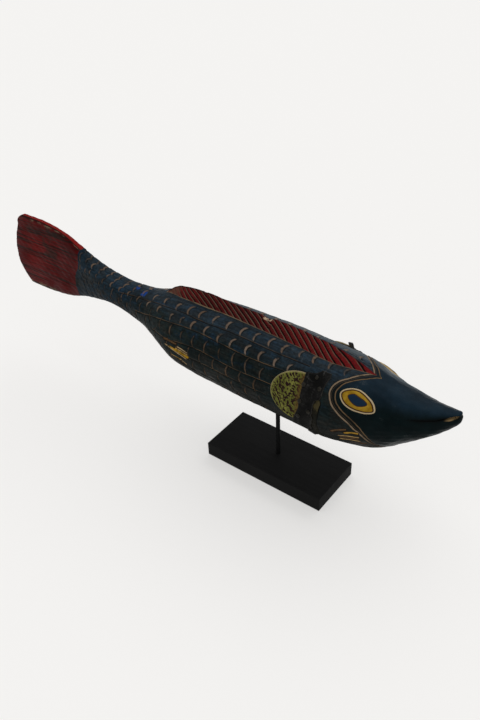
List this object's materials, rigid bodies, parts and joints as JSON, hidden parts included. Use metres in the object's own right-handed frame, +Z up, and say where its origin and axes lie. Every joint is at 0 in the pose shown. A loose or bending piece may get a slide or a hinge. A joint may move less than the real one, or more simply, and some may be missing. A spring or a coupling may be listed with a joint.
{
  "type": "carved fish rasp on display stand",
  "caption": "Carved painted wooden fish with a grooved crest and hinged side fins, held on a rod over a block plinth.",
  "frame": {"origin": "centre of the plinth's underside, on the table", "axes": "+Z up, +X along the fish towards its head, so the fish's right side is -Y"},
  "size_m": [0.813, 0.1377, 0.2852],
  "materials": {
    "painted_wood": "worn semi-gloss paint",
    "fin_paint": "matt paint",
    "band_rubber": "worn satin",
    "tack_brass": "tarnished",
    "black_paint": "satin lacquer",
    "rod_steel": "satin black",
    "felt": "felt"
  },
  "bodies": {
    "stand": {"plinth": "black_paint", "base_felt": "felt"},
    "rod": {"mount_rod": "rod_steel", "rod_washer": "rod_steel", "rod_nut": "rod_steel"},
    "fish": {"fish_body": "painted_wood", "rod_sleeve": "tack_brass", "belly_band": "band_rubber", "band_tack_right_1": "tack_brass", "band_tack_right_2": "tack_brass", "band_tack_right_3": "tack_brass", "band_tack_right_4": "tack_brass", "band_tack_left_1": "tack_brass", "band_tack_left_2": "tack_brass", "band_tack_left_3": "tack_brass", "band_tack_left_4": "tack_brass"},
    "fin_right": {"right_fin": "fin_paint", "right_flap": "band_rubber", "fin_tack_right_1": "tack_brass", "fin_tack_right_2": "tack_brass", "fin_tack_right_3": "tack_brass"},
    "fin_left": {"left_fin": "fin_paint", "left_flap": "band_rubber", "fin_tack_left_1": "tack_brass", "fin_tack_left_2": "tack_brass", "fin_tack_left_3": "tack_brass"}
  },
  "joints": [
    {"name": "display_swivel", "type": "hinge", "parent": "stand", "child": "rod", "pos_m": [0, 0, 0.0243], "axis": [0, 0, 1], "continuous": true},
    {"name": "lift_off", "type": "slide", "parent": "rod", "child": "fish", "axis": [0, 0, 1], "range_m": [0, 0.05]},
    {"name": "right_fin_flap", "type": "hinge", "parent": "fish", "child": "fin_right", "pos_m": [0.0842, -0.06319, 0.20754], "axis": [0, 0.2756, 0.9613], "range_deg": [0, 70], "stiffness_Nm_per_rad": 0.02},
    {"name": "left_fin_flap", "type": "hinge", "parent": "fish", "child": "fin_left", "pos_m": [0.0842, 0.06572, 0.19057], "axis": [0, 0.0175, -0.9998], "range_deg": [0, 70], "stiffness_Nm_per_rad": 0.02}
  ]
}
